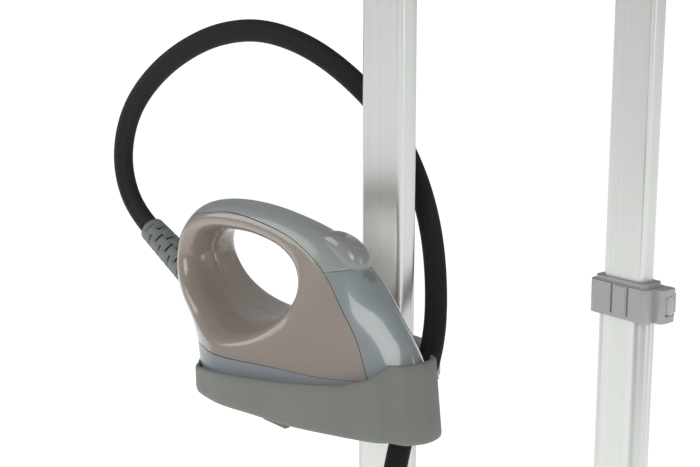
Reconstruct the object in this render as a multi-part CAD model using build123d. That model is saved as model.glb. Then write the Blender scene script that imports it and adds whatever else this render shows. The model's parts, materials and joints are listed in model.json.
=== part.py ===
from build123d import *
import math
import os

# Upright steam-ironing station: a wheeled base with a water tank and a boiler, two flat
# telescopic poles, a tilting ironing board at their top, and a steam iron that stands in a
# cradle beside the left pole. Millimetres, +Z up. The origin is on the floor, midway between
# the poles; +X runs from the left pole to the right one and -Y is the user's side.

# ---- driving dimensions ----
POLE_X = 125.0
UPPER_TUBE = (16.0, 40.0, 4.0)
LOWER_TUBE = (20.0, 49.0, 9.0)
TUBE_GAP = 0.5
CLAMP_Z = 780.0
CLAMP_HEIGHT = 26.7
LOWER_TUBE_FOOT = 205.0
UPPER_TUBE_FOOT = 520.0
PIVOT_Y, PIVOT_Z = -34.0, 1395.0
BOARD_WIDTH, BOARD_LENGTH = 290.0, 640.0
BOARD_BACK_Y = PIVOT_Y - 20.0
BASE_FLOOR, BASE_SPLIT, BASE_TOP = 14.0, 86.0, 285.0
BASE_SIZE = (352.0, 366.0, 55.0)
SHELL = 3.5
IRON_X = -197.0
HOSE_DIAMETER = 14.0
WHEEL_RADIUS, WHEEL_Y = 32.0, 135.0
SIDES = {"left": -1, "right": 1}


# ---- helpers ----
def save(name, shape):
    """Write one node."""
    shape.label = name
    export_step(shape, f"parts/{name}.step")


def block(x0, x1, y0, y1, z0, z1):
    """A box between two corners."""
    centre = ((x0 + x1) / 2, (y0 + y1) / 2, (z0 + z1) / 2)
    return Pos(*centre) * Box(x1 - x0, y1 - y0, z1 - z0)


def bar(size, z0, z1, x=0.0, y=0.0):
    """An upright bar with a rounded rectangular section (width, depth, corner radius)."""
    return Pos(x, y, z0) * extrude(RectangleRounded(*size), amount=z1 - z0)


def grown(size, by):
    """A section (width, depth, corner radius) grown by the same amount all round."""
    return (size[0] + 2 * by, size[1] + 2 * by, size[2] + by)


def rod(axis, radius, low, high, a, b):
    """A round bar along X, Y or Z from low to high, at (a, b) on the other two axes."""
    middle = (low + high) / 2
    if axis == "x":
        place = Pos(middle, a, b) * Rot(0, 90, 0)
    elif axis == "y":
        place = Pos(a, middle, b) * Rot(90, 0, 0)
    else:
        place = Pos(a, b, middle)
    return place * Cylinder(radius, high - low)


def side_slab(points, x0, x1):
    """A slab between two X planes whose side view is the polygon of (y, z) points."""
    face = make_face(Plane.YZ * Polyline(*points, close=True))
    return Pos(x0, 0, 0) * extrude(face, amount=x1 - x0, dir=(1, 0, 0))


def curved_slab(points, x0, x1):
    """A slab between two X planes whose side view is a smooth closed curve."""
    face = make_face(Plane.YZ * Spline(*points, periodic=True))
    return Pos(x0, 0, 0) * extrude(face, amount=x1 - x0, dir=(1, 0, 0))


def tilted(origin, direction):
    """A plane whose local Z is the given direction."""
    return Plane(origin=origin, x_dir=(1, 0, 0) if direction[0] == 0 else (0, 1, 0), z_dir=direction)


def group(*solids):
    """Several separate solids in one node."""
    return Compound(children=list(solids))


def pipe(points, radii, radius):
    """A tube along straight runs joined by tangent arcs."""
    path = FilletPolyline(*points, radius=radii)
    return sweep(Plane(path @ 0, z_dir=path % 0) * Circle(radius), path=path), path.length


# ---- base ----
def base_envelope(inset=0.0):
    """The base's outer form, or the same form smaller by inset on every side."""
    width, depth, corner = BASE_SIZE
    plan = bar((width - 2 * inset, depth - 2 * inset, corner - inset), 0, 400)
    front, rear, top = -depth / 2 + inset, depth / 2 - inset, BASE_TOP - inset
    outline = [
        (front, BASE_FLOOR + inset),
        (front, 92),
        (-96 + inset * 0.5, top),
        (rear - 26, top),
        (rear, top - 44),
        (rear, BASE_FLOOR + inset),
    ]
    side = make_face(Plane.YZ * Polyline(*outline, close=True))
    for place, radius in ((1, 40), (2, 45), (3, 20), (4, 20)):
        corner_point = Vector(0, *outline[place])
        nearest = min(side.vertices(), key=lambda v: (Vector(*v) - corner_point).length)
        side = fillet(nearest, radius)
    side = Pos(-width, 0, 0) * extrude(side, amount=2 * width, dir=(1, 0, 0))
    across = Plane.XZ * (Pos(0, top / 2 - 40) * RectangleRounded(width - 2 * inset, top + 80, 30))
    across = Pos(0, depth, 0) * extrude(across, amount=2 * depth, dir=(0, -1, 0))
    return plan & side & across


SLOPE = math.hypot(BASE_SIZE[1] / 2 - 96, BASE_TOP - 92)
SLOPE_OUT = (0, -(BASE_TOP - 92) / SLOPE, (BASE_SIZE[1] / 2 - 96) / SLOPE)
SLOPE_MIDDLE = (-(BASE_SIZE[1] / 2 + 96) / 2, (BASE_TOP + 92) / 2)
SOCKET_MOUTH = (-190.0, 60.0, 198.0)
SOCKET_OUT = (-0.64, 0, -0.768)
BAY = (-100, 100, 52, 200, 96, 300)


def panel_plane(x):
    """A plane on the sloping front of the base, local Z outwards."""
    return tilted((x, *SLOPE_MIDDLE), SLOPE_OUT)


def wheel_well(side, grow=0.0):
    """The space that one rear wheel turns in."""
    inner, outer = sorted((side * (140 - grow), side * 190))
    y0, y1 = WHEEL_Y - WHEEL_RADIUS - 5 - grow, WHEEL_Y + WHEEL_RADIUS + 5 + grow
    return block(inner, outer, y0, y1, -10, 2 * WHEEL_RADIUS + 5 + grow)


def make_base():
    """Tray, cover, feet, wheels and what stands inside them."""
    outer, inner = base_envelope(), base_envelope(SHELL)
    wells = wheel_well(-1) + wheel_well(1)
    well_walls = (wheel_well(-1, 3) + wheel_well(1, 3)) & outer
    bay = block(*BAY)
    bay_wall = block(BAY[0] - 3, BAY[1] + 3, BAY[2] - 3, BAY[3], BAY[4] - 3, BAY[5]) & outer
    shell = (outer - inner) + well_walls
    below = block(-300, 300, -300, 300, -10, BASE_SPLIT)
    inlet_hole = block(140, 200, 25, 75, 48, 78)
    tray = (shell & below) - wells - inlet_hole - rod("x", 4.2, -175, 175, WHEEL_Y, WHEEL_RADIUS)
    save("base_tray", tray)

    above = block(-300, 300, -300, 300, BASE_SPLIT + 0.2, 400)
    cover = ((shell & above) + bay_wall) - bay - wells
    for side in SIDES.values():
        cover -= bar(grown(LOWER_TUBE, 5.6), 180, 400, side * POLE_X)
    cover -= panel_plane(0) * Cylinder(4.06, 30)
    cover -= panel_plane(72) * Cylinder(11.3, 30)
    cover -= tilted(SOCKET_MOUTH, SOCKET_OUT) * Pos(0, 0, -20) * Cylinder(11.2, 60)
    cover -= rod("z", 11, 80, 100, 0, 110)
    save("base_cover", cover)

    feet = [bar((44, 36, 12), 0, BASE_FLOOR, x, -138) for x in (-128, 128)]
    save("front_feet", group(*feet))
    save("wheel_axle", rod("x", 4, -168, 168, WHEEL_Y, WHEEL_RADIUS))
    for name, side in SIDES.items():
        make_wheel(name, side)
    make_boiler()
    inlet = block(151, 177.5, 26, 74, 49, 77) - block(160, 180, 31, 69, 54, 72)
    for y in (40, 50, 60):
        inlet += block(158, 170, y - 1, y + 1, 60, 66)
    save("mains_inlet", inlet)


def make_wheel(name, side):
    """A moulded hub with a rubber tyre, turning on the axle."""
    low, high = sorted((side * 144, side * 164))
    middle = (low + high) / 2
    hub = rod("x", 24, low, high, WHEEL_Y, WHEEL_RADIUS)
    hub -= rod("x", 4.06, low - 1, high + 1, WHEEL_Y, WHEEL_RADIUS)
    for face in (low, high):
        dish = Pos(face, WHEEL_Y, WHEEL_RADIUS) * Rot(0, 90, 0) * Cylinder(20, 8)
        hub -= dish - rod("x", 8, face - 6, face + 6, WHEEL_Y, WHEEL_RADIUS)
    tyre = Pos(middle, WHEEL_Y, WHEEL_RADIUS) * Rot(0, 90, 0) * (
        fillet(Cylinder(WHEEL_RADIUS, high - low).edges(), 4) - Cylinder(24, high - low)
    )
    save(f"wheel_hub_{name}", hub)
    save(f"wheel_tyre_{name}", tyre)


def make_boiler():
    """Boiler, pump, control board and the pipes between them."""
    body = fillet(rod("x", 48, -85, 85, -66, 130).edges(), 14)
    legs = [block(x - 6, x + 6, -86, -46, 17.6, 90) for x in (-50, 50)]
    boiler = body + legs[0] + legs[1]
    boiler += rod("z", 9, 170, 190, 40, -66) + rod("z", 7, 170, 186, -40, -66)
    save("boiler", boiler)
    pump = block(110, 150, -60, -20, 30, 70) + rod("z", 16, 70, 105, 130, -40)
    save("water_pump", pump)
    save("control_board", block(-140, -136, -110, 20, 60, 160) + block(-136, -122, -80, -50, 70, 110))
    steam_route = [(-40, -66, 186.5), (-40, -66, 210), (-86, -20, 215), (-90, 38, 222), (-140, 40, 226),
                   (-158, 54, 228)]
    steam_line, _ = pipe(steam_route, [12, 16, 14, 8], 4)
    save("steam_line", steam_line)
    water_route = [(0, 110, 88), (0, 110, 60), (60, 30, 50), (103, -28, 50)]
    water_line, _ = pipe(water_route, [12, 20], 4)
    save("water_line", water_line)


def make_tank():
    """Removable water tank: open box, hinged lid and the valve under it."""
    x0, x1, y0, _, z0, _ = BAY
    gap, wall, lid_foot = 1.5, 3.0, BASE_TOP - 7
    outer = block(x0 + gap, x1 - gap, y0 + gap, 300, z0 + gap, lid_foot) & base_envelope()
    hollow = block(x0 + gap + wall, x1 - gap - wall, y0 + gap + wall, 300, z0 + gap + wall, 400)
    tank = outer - (hollow & base_envelope(wall))
    hinge_y, hinge_z = y0 + 6.5, BASE_TOP - 3.4
    for x in (-64, 58):
        ear = block(x, x + 6, y0 + gap, y0 + 11, lid_foot - 1, BASE_TOP - 0.5)
        ear += block(x, x + 12, y0 + gap, y0 + 4.5, lid_foot - 20, lid_foot)
        tank += ear - rod("x", 1.6, x - 1, x + 7, hinge_y, hinge_z)
    save("tank_body", tank)

    lid = block(x0 + gap, x1 - gap, y0 + 12, 300, lid_foot + 0.3, 400) & base_envelope(0.4)
    lid += block(-57.5, 57.5, hinge_y - 2.4, y0 + 14, lid_foot + 1, BASE_TOP - 0.8)
    lid += rod("x", 1.55, -63.5, 63.5, hinge_y, hinge_z)
    save("tank_lid", lid)
    save("tank_valve", rod("z", 9, z0 - 3, z0 + gap, 0, 110))


def make_controls():
    """Steam dial, power button and the socket that the hose leaves from."""
    dial = Pos(0, 0, 8) * Cylinder(24, 13) + Pos(0, 0, -4) * Cylinder(4, 14)
    dial = dial + Pos(0, 10, 15.5) * Box(4, 18, 3)
    save("steam_dial", panel_plane(0) * dial)
    save("power_button", panel_plane(72) * (Pos(0, 0, 0.5) * Cylinder(11, 9)))
    socket = Pos(0, 0, -15) * Cylinder(11, 30) + Pos(0, 0, -2) * Cylinder(13, 4)
    save("hose_socket", tilted(SOCKET_MOUTH, SOCKET_OUT) * socket)


# ---- poles ----
def make_poles():
    """Sockets, lower and upper tubes, clamps and their levers."""
    screws = []
    for name, side in SIDES.items():
        x = side * POLE_X
        socket = bar(grown(LOWER_TUBE, 5), 195, BASE_TOP + 36, x)
        socket += bar(grown(LOWER_TUBE, 9), BASE_TOP + 0.2, BASE_TOP + 8, x)
        socket -= bar(grown(LOWER_TUBE, 0.15), LOWER_TUBE_FOOT, BASE_TOP + 40, x)
        socket -= rod("y", 2.6, -60, 0, x, BASE_TOP + 24)
        save(f"pole_socket_{name}", socket)
        screw = rod("y", 2.5, -31, -24.7, x, BASE_TOP + 24) + rod("y", 5, -34, -30, x, BASE_TOP + 24)
        screws.append(screw)

        top = CLAMP_Z + CLAMP_HEIGHT / 2 - 4
        tube = bar(LOWER_TUBE, LOWER_TUBE_FOOT, top, x)
        tube -= bar(grown(UPPER_TUBE, TUBE_GAP), LOWER_TUBE_FOOT - 1, top + 1, x)
        save(f"lower_tube_{name}", tube)
        tube = bar(UPPER_TUBE, UPPER_TUBE_FOOT, PIVOT_Z + 10, x)
        tube -= bar(grown(UPPER_TUBE, -1.4), UPPER_TUBE_FOOT - 1, PIVOT_Z + 11, x)
        save(f"upper_tube_{name}", tube)
        make_clamp(name, x)
    save("socket_screws", group(*screws))
    pins = [rod("z", 1.5, CLAMP_Z - 12.5, CLAMP_Z + 12.5, side * POLE_X + 8, -31) for side in (-1, 1)]
    save("clamp_pins", group(*pins))


def make_clamp(name, x):
    """A clamp collar on the lower tube's end, with a flip lever on its right side."""
    low, high = CLAMP_Z - CLAMP_HEIGHT / 2, CLAMP_Z + CLAMP_HEIGHT / 2
    collar = bar((28, 58, 6), low, high, x) + bar((23, 51, 5), high, high + 3.5, x)
    collar += bar((18, 12, 4), low, high, x + 5, -31)
    for y in (-11, 5):
        collar -= block(x - 15, x - 12, y - 1, y + 1, low + 3, high + 1)
    collar += bar((3, 12, 1), low + 3, high - 0.8, x - 13.2, -3)
    collar -= bar(grown(LOWER_TUBE, 0.15), low - 1, high - 4, x)
    collar -= bar(grown(UPPER_TUBE, 0.4), high - 5, high + 4, x)
    collar -= block(x + 1, x + 20, -40, -22.5, CLAMP_Z - 8, CLAMP_Z + 8) & (
        block(x + 1, x + 20, -40, -24.8, CLAMP_Z - 8, CLAMP_Z + 8)
    )
    collar -= rod("z", 1.55, low - 1, high + 1, x + 8, -31)
    save(f"clamp_body_{name}", collar)

    knuckle = rod("z", 6, CLAMP_Z - 7.6, CLAMP_Z + 7.6, x + 8, -31)
    knuckle -= rod("z", 1.56, CLAMP_Z - 8, CLAMP_Z + 8, x + 8, -31)
    neck = block(x + 11, x + 19, -32.5, -27, CLAMP_Z - 7.6, CLAMP_Z + 7.6)
    neck -= rod("z", 1.56, CLAMP_Z - 8, CLAMP_Z + 8, x + 8, -31)
    arm = bar((4, 56, 1.9), CLAMP_Z - 11, CLAMP_Z + 11, x + 17, -4.5)
    save(f"clamp_lever_{name}", knuckle + neck + arm)


def make_top():
    """Cross bar, pivot heads, tilt knob."""
    bar_end = POLE_X - UPPER_TUBE[0] / 2
    cross = rod("x", 11, -bar_end, bar_end, 0, PIVOT_Z - 60)
    save("cross_bar", cross)
    for name, side in SIDES.items():
        x = side * POLE_X
        head = bar((26, 50, 7), PIVOT_Z - 22, PIVOT_Z + 15, x)
        head += rod("x", 12, x - 13, x + 13, PIVOT_Y, PIVOT_Z)
        head += block(x - 13, x + 13, PIVOT_Y, 0, PIVOT_Z - 12, PIVOT_Z + 12)
        head -= bar(UPPER_TUBE, PIVOT_Z - 30, PIVOT_Z + 10, x)
        head -= rod("x", 6.06, x - 20, x + 20, PIVOT_Y, PIVOT_Z)
        save(f"pivot_head_{name}", head)
    knob = Pos(POLE_X + 27, PIVOT_Y, PIVOT_Z) * Rot(0, 90, 0) * fillet(Cylinder(16, 24).edges(), 3)
    for turn in range(8):
        angle = math.radians(45 * turn)
        y, z = PIVOT_Y + 17.5 * math.cos(angle), PIVOT_Z + 17.5 * math.sin(angle)
        knob -= rod("x", 3.5, POLE_X + 10, POLE_X + 50, y, z)
    knob -= rod("x", 6.3, POLE_X, POLE_X + 30, PIVOT_Y, PIVOT_Z)
    save("tilt_knob", knob)


def board_slab(width, length, corner, back, front):
    """A rounded board outline between two Y planes, centred on the pivot's height."""
    face = Plane.XZ * RectangleRounded(width, length, corner)
    return Pos(0, back, PIVOT_Z) * extrude(face, amount=back - front, dir=(0, -1, 0))


def make_board():
    """Pivot shaft, brackets, perforated plate, pad and cover."""
    save("pivot_shaft", rod("x", 6, -POLE_X - 18, POLE_X + 26, PIVOT_Y, PIVOT_Z))
    brackets = []
    for x in (-72, 72):
        bracket = rod("x", 11, x - 12, x + 12, PIVOT_Y, PIVOT_Z)
        bracket += block(x - 12, x + 12, BOARD_BACK_Y + 3, PIVOT_Y, PIVOT_Z - 11, PIVOT_Z + 11)
        bracket += block(x - 20, x + 20, BOARD_BACK_Y, BOARD_BACK_Y + 3, PIVOT_Z - 55, PIVOT_Z + 55)
        brackets.append(bracket - rod("x", 6, x - 20, x + 20, PIVOT_Y, PIVOT_Z))
    save("board_brackets", group(*brackets))

    width, length = BOARD_WIDTH - 12, BOARD_LENGTH - 12
    plate = board_slab(width, length, 64, BOARD_BACK_Y, BOARD_BACK_Y - 2)
    plate += board_slab(width, length, 64, BOARD_BACK_Y, BOARD_BACK_Y - 6) - board_slab(
        width - 6, length - 6, 61, BOARD_BACK_Y + 1, BOARD_BACK_Y - 7
    )
    spots = [(x, z) for x in (-100, -50, 0, 50, 100) for z in range(-250, 251, 50)]
    spots = [(x, z) for x, z in spots if abs(z) > 60 or x in (0, -100, 100)]
    vents = Sketch() + [Pos(x, z) * SlotOverall(30, 12, rotation=90) for x, z in spots]
    vents = Pos(0, BOARD_BACK_Y + 1, PIVOT_Z) * extrude(Plane.XZ * vents, amount=12, dir=(0, -1, 0))
    save("board_plate", plate - vents)
    front = BOARD_BACK_Y - 30
    save("board_pad", board_slab(BOARD_WIDTH - 6, BOARD_LENGTH - 6, 67, BOARD_BACK_Y - 6.2, front))
    cover = board_slab(BOARD_WIDTH, BOARD_LENGTH, 70, BOARD_BACK_Y + 1.5, front - 1.5)
    cover -= board_slab(BOARD_WIDTH - 5, BOARD_LENGTH - 5, 67.5, BOARD_BACK_Y + 0.2, front - 0.1)
    cover -= board_slab(BOARD_WIDTH - 60, BOARD_LENGTH - 60, 50, BOARD_BACK_Y + 5, BOARD_BACK_Y - 1)
    save("board_cover", cover)


# ---- iron and cradle ----
SOLE_OUTLINE = [(14, -110), (30, -80), (43, -48), (50, -14), (54, 14), (50, 42), (40, 58), (24, 72)]


def iron_plan(nose, heel, inset=0.0, shrink=1.0):
    """The iron's plan outline, a smooth closed curve from nose to heel."""
    half = [((x - inset) * shrink, y * shrink) for x, y in SOLE_OUTLINE]
    points = [(0, nose)] + half + [(0, heel)] + [(-x, y) for x, y in reversed(half)]
    return make_face(Spline(*points, periodic=True))


def iron_local(shape):
    """Move a shape from the iron's own axes to where it stands in the cradle."""
    return Pos(IRON_X, 0, CLAMP_Z) * shape


SIDE_OUTLINE = [
    (-116, 3), (-113.9, 17), (-110, 36), (-92, 60), (-75, 74), (-56, 90), (-29, 102), (18, 108.5),
    (60, 109), (95, 104), (116, 93), (129, 76), (133, 56), (128, 36), (115, 19), (98, 6), (90, 3),
]
HANDLE_OPENING = [
    (103, 66), (96, 52), (82, 43), (64, 37.5), (43, 35.5), (22, 37.5), (2, 44), (-12, 54), (-18, 66),
    (-10, 77.5), (8, 86), (32, 89.5), (54, 89.5), (78, 87), (96, 80),
]
HALF_WIDTHS = [(53, 3), (50, 14), (44, 32), (36, 48), (27, 66), (20, 84), (16, 100), (8, 112)]
SEAM = [
    (170, 40), (128, 85), (112, 90), (103, 94.5), (86, 98.5), (60, 102.5), (26, 101.5), (-6, 97),
    (-31, 89), (-47, 80), (-65, 64), (-80, 46), (-92, 25),
]


def iron_envelope(inset=0.0):
    """The iron's outer form above its sole, or the same form smaller by inset."""
    top = [(y * (1 - inset / 130), z + inset * (1 - z / 52)) for y, z in SIDE_OUTLINE]
    side = side_slab(top, -80, 80)
    widths = [(x - inset, z - inset * (z > 60)) for x, z in HALF_WIDTHS]
    across = widths + [(-x, z) for x, z in reversed(widths)]
    across = make_face(Plane.XZ * Polyline(*across, close=True))
    across = Pos(0, 200, 0) * extrude(across, amount=400, dir=(0, -1, 0))
    nose, heel = -117 + inset, 135 - inset
    half = [(15, -108), (30, -80), (42, -48), (49, -14), (52.5, 14), (49, 46), (38, 86), (24, 118)]
    half = [(x - inset, y) for x, y in half]
    points = [(0, nose)] + half + [(0, heel)] + [(-x, y) for x, y in reversed(half)]
    plan = extrude(make_face(Spline(*points, periodic=True)), amount=150, dir=(0, 0, 1))
    return side & across & plan


BUTTON_MIDDLE = (0, -41, 92)
BUTTON_PRESS = (0, 0.5, -0.866)


def make_iron():
    """Soleplate, steam chamber, skirt, side panels, top strip, nose cover and trigger."""
    sole = Pos(0, 0, -4) * extrude(iron_plan(-116, 78.5, 1), amount=6, dir=(0, 0, 1))
    save("iron_soleplate", iron_local(fillet(sole.edges().group_by(Axis.Z)[0], 1.5)))
    chamber = Pos(0, 0, 2) * extrude(iron_plan(-88, 60, 0, 0.74), amount=14, dir=(0, 0, 1))
    save("steam_chamber", iron_local(chamber))

    button = tilted(BUTTON_MIDDLE, (0, -BUTTON_PRESS[1], -BUTTON_PRESS[2]))
    press_pocket = button * Pos(0, 0, 3) * Box(19, 40, 20)
    outer = iron_envelope() - curved_slab(HANDLE_OPENING, -80, 80) - press_pocket
    inner = iron_envelope(3) - curved_slab(handle_tube_outline(), -80, 80)
    skirt_zone = side_slab([(-200, -10), (-200, 24), (200, 20), (200, -10)], -80, 80)
    nose_zone = side_slab([(-200, -10), (-200, 200), (170, 200)] + SEAM + [(-92, -10)], -80, 80)
    lip = block(-80, 80, -200, 200, -10, 3)
    clear_of_cradle = cradle_form(-118.6, -108.8, 81, 0.2, -9, 45)
    save("iron_skirt", iron_local((outer & skirt_zone & clear_of_cradle) - inner - (chamber + lip)))
    upper = outer - skirt_zone
    lens_place = tilted((0, -66.5, 80.2), (0, -0.644, 0.765))
    lens = lens_place * Pos(0, 0, 0.6) * Cylinder(4, 2.4)
    front = (upper & nose_zone) - (inner - press_floor(button)) - lens
    nose_cut = block(-80, 80, -200, -62, -20, 200)
    save("iron_nose_cover", iron_local(front & nose_cut))
    save("iron_top_strip", iron_local(front - nose_cut))
    flank = (upper - nose_zone) - inner
    for name, side in SIDES.items():
        half = block(*sorted((0, side * 90)), -200, 200, -20, 200)
        save(f"iron_panel_{name}", iron_local(flank & half))
    save("steam_button", iron_local(button * Pos(0, 0, 1.5) * fillet(Box(17, 37, 10).edges(), 2)))
    save("indicator_lens", iron_local(lens))
    save("steam_switch", iron_local(block(-6, 6, -50, -32, 56, 68)))
    supply, _ = pipe([(0, 121, 38), (0, 110, 28), (0, 66, 22), (0, 40, 19)], [12, 12], 2.5)
    save("iron_steam_pipe", iron_local(supply))
    make_relief()


def handle_tube_outline():
    """The handle opening grown by the panels' wall, which closes the shells around it."""
    cy = sum(y for y, _ in HANDLE_OPENING) / len(HANDLE_OPENING)
    cz = sum(z for _, z in HANDLE_OPENING) / len(HANDLE_OPENING)
    return [(cy + (y - cy) * 1.045, cz + (z - cz) * 1.1) for y, z in HANDLE_OPENING]


def press_floor(button):
    """The wall left in the strip under the steam button."""
    return button * Pos(0, 0, -9) * Box(26, 46, 4)


RELIEF_START, RELIEF_END = (0, 128, 45), (0, 185, 68)


def make_relief():
    """The ribbed sleeve where the hose leaves the iron's heel."""
    run = Vector(*RELIEF_END) - Vector(*RELIEF_START)
    place = tilted(RELIEF_START, tuple(run.normalized()))
    relief = place * Pos(0, 0, run.length / 2) * Cone(11.5, 9.5, run.length)
    save("hose_relief", iron_local(relief - iron_envelope()))


def cradle_form(nose_low, nose_high, heel, inset, low, high):
    """The cradle's flared form between two heights, its nose leaning back as it rises."""
    bottom = iron_plan(nose_low, heel, inset)
    top = iron_plan(nose_high, heel + 1.5, inset - 1.0)
    return loft([Pos(0, 0, low) * bottom, Pos(0, 0, high) * top])


def make_cradle():
    """Cradle, heat mat, the bracket under it and its screws."""
    outer = cradle_form(-124, -114, 86, -4.5, -9, 45)
    inner = cradle_form(-120.5, -110.5, 83, -1.5, -6, 45)
    rim = [(-150, -20), (-150, 39), (-112, 38), (-106, 32.5), (-102, 29), (-83, 23), (-23, 16), (28, 11),
           (49, 8), (150, 4), (150, -20)]
    cradle = (outer - inner) & side_slab(rim, -80, 80)
    cradle -= block(57.6, 90, -80, 80, -20, 60)
    spots = [(-18, -12), (18, -12), (0, 16)]
    for x, y in spots:
        cradle -= rod("z", 2.1, -12, 0, x, y)
    save("iron_cradle", iron_local(cradle))
    save("heat_mat", iron_local(Pos(0, 0, -5.9) * extrude(iron_plan(-105, 72, 0, 0.88), amount=1.6, dir=(0, 0, 1))))

    tube = LOWER_TUBE
    reach = -IRON_X - POLE_X
    sleeve = bar(grown(tube, 5), -44, -15, reach)
    arm = block(-30, reach - 15.5, -19, 24, -15, -9.2) + block(-24, reach - 8, -12, 12, -26, -15)
    bracket = sleeve + arm - bar(grown(tube, 0.15), -50, -8, reach)
    for x, y in spots:
        bracket -= rod("z", 2.1, -40, -5, x, y)
    save("cradle_bracket", iron_local(bracket))
    screws = [rod("z", 2, -20, -6.4, x, y) for x, y in spots]
    save("cradle_screws", group(*[iron_local(screw) for screw in screws]))


# ---- steam hose: from the relief, round the left pole, down to the base ----
HOSE_ROUTE = [
    (-197, 185.4, 848.2), (-197, 203, 856.5), (-198, 218, 873), (-198.5, 224, 896), (-197, 219, 922),
    (-194, 205, 945), (-188, 182, 967), (-180, 155, 984), (-170, 128, 995), (-157, 98, 998.5),
    (-142, 66, 989), (-126, 40, 969), (-110, 19, 942), (-99, 2, 905), (-98, -13, 869), (-108, -30, 834),
    (-124, -46, 803), (-137, -48, 774), (-149, -45, 748), (-160, -48, 720), (-171, -54, 690),
    (-181, -61, 648), (-187, -70, 590), (-192, -80, 515), (-200, -90, 430), (-210, -99, 345),
    (-219, -105, 265), (-226, -103, 195), (-230, -84, 134), (-232, -44, 98), (-233, 0, 92),
    (-231, 34, 112), (-223, 55, 150), (-206, 60, 179), (-190.3, 60, 197.6),
]


def corner_radii(points):
    """As large an arc at each corner as its two runs leave room for."""
    radii = []
    for before, here, after in zip(points, points[1:], points[2:]):
        run_in, run_out = Vector(*here) - Vector(*before), Vector(*after) - Vector(*here)
        turn = math.radians(run_in.get_angle(run_out))
        shorter = min(run_in.length, run_out.length)
        radii.append(0.45 * shorter / math.tan(turn / 2))
    return radii


def make_hose():
    """The steam hose as a plain tube."""
    radii = corner_radii(HOSE_ROUTE)
    hose, length = pipe(HOSE_ROUTE, radii, HOSE_DIAMETER / 2)
    section = math.pi * HOSE_DIAMETER**2 / 4
    print("hose radii", [round(radius) for radius in radii])
    print("hose length", round(length), "volume ratio", round(hose.volume / section / length, 4))
    save("steam_hose", hose)


os.makedirs("parts", exist_ok=True)
make_base()
make_tank()
make_controls()
make_poles()
make_top()
make_board()
make_iron()
make_cradle()
make_hose()
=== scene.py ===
"""Dresses an upright steam-ironing station: poles, wheeled base, board, and a steam iron in its cradle."""

import json
import logging
import math
from dataclasses import dataclass
from enum import Enum
from typing import Any

import bmesh
import bpy
import numpy as np
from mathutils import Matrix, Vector

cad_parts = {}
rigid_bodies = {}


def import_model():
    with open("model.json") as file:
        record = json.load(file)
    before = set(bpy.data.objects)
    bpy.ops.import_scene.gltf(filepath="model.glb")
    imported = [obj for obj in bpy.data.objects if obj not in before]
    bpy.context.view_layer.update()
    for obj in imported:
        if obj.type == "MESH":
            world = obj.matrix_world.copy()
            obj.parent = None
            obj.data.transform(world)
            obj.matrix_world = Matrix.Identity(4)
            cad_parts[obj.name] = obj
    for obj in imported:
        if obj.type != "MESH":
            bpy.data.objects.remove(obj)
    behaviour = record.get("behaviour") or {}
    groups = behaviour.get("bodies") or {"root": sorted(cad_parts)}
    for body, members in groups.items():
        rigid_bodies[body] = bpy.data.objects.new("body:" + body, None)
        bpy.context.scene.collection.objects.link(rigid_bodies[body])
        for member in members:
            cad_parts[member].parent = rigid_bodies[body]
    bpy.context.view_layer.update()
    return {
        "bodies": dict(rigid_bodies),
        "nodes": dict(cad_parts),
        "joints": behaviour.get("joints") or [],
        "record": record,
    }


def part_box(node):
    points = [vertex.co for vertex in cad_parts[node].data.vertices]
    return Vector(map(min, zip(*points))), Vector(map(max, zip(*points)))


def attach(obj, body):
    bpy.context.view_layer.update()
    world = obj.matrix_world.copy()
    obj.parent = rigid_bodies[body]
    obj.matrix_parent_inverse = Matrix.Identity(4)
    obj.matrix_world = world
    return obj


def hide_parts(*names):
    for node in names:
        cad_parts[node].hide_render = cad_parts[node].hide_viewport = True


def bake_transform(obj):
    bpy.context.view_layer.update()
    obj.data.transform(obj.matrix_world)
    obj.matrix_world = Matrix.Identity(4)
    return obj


log = logging.getLogger("scene")
MM = 0.001
Point = tuple[float, float, float]
Face = tuple[int, ...]
Socket = bpy.types.NodeSocket
Tree = bpy.types.NodeTree


class Hand(Enum):
    """Which side of the iron a panel covers."""

    LEFT = -1
    RIGHT = 1


class Region(Enum):
    """The parts that the iron's shell is moulded in."""

    PANEL = "panel"
    SKIRT = "skirt"
    NOSE = "nose"
    STRIP = "strip"


# ---- shader helpers ----


def linear(code: str) -> tuple[float, float, float, float]:
    """Turns an sRGB hex colour into linear light.

    Args:
        code: Six hex digits after a hash.

    Returns:
        Red, green, blue and alpha.
    """
    parts = [int(code[i : i + 2], 16) / 255 for i in (1, 3, 5)]
    red, green, blue = (p / 12.92 if p <= 0.04045 else ((p + 0.055) / 1.055) ** 2.4 for p in parts)
    return (red, green, blue, 1.0)


def per_metre(size_mm: float) -> float:
    """How many features of that size fit in a metre."""
    return 1000.0 / size_mm


def add_node(
    tree: Tree,
    kind: str,
    values: dict[str | int, Any] | None = None,
    links: dict[str | int, Socket] | None = None,
    **properties: Any,
) -> bpy.types.Node:
    """Adds one shader node with its settings and links.

    Args:
        tree: The material's node tree.
        kind: The node's type name.
        values: Socket defaults by name or number.
        links: Sockets that feed this node's inputs.
        properties: The node's own options.

    Returns:
        The new node.
    """
    node = tree.nodes.new(kind)
    for key, value in properties.items():
        setattr(node, key, value)
    for key, value in (values or {}).items():
        node.inputs[key].default_value = value
    for key, source in (links or {}).items():
        tree.links.new(source, node.inputs[key])
    return node


def start_material(name: str) -> tuple[bpy.types.Material, Tree]:
    """An empty node material and its tree."""
    material = bpy.data.materials.new(name)
    material.use_nodes = True
    material.node_tree.nodes.clear()
    return material, material.node_tree


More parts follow.
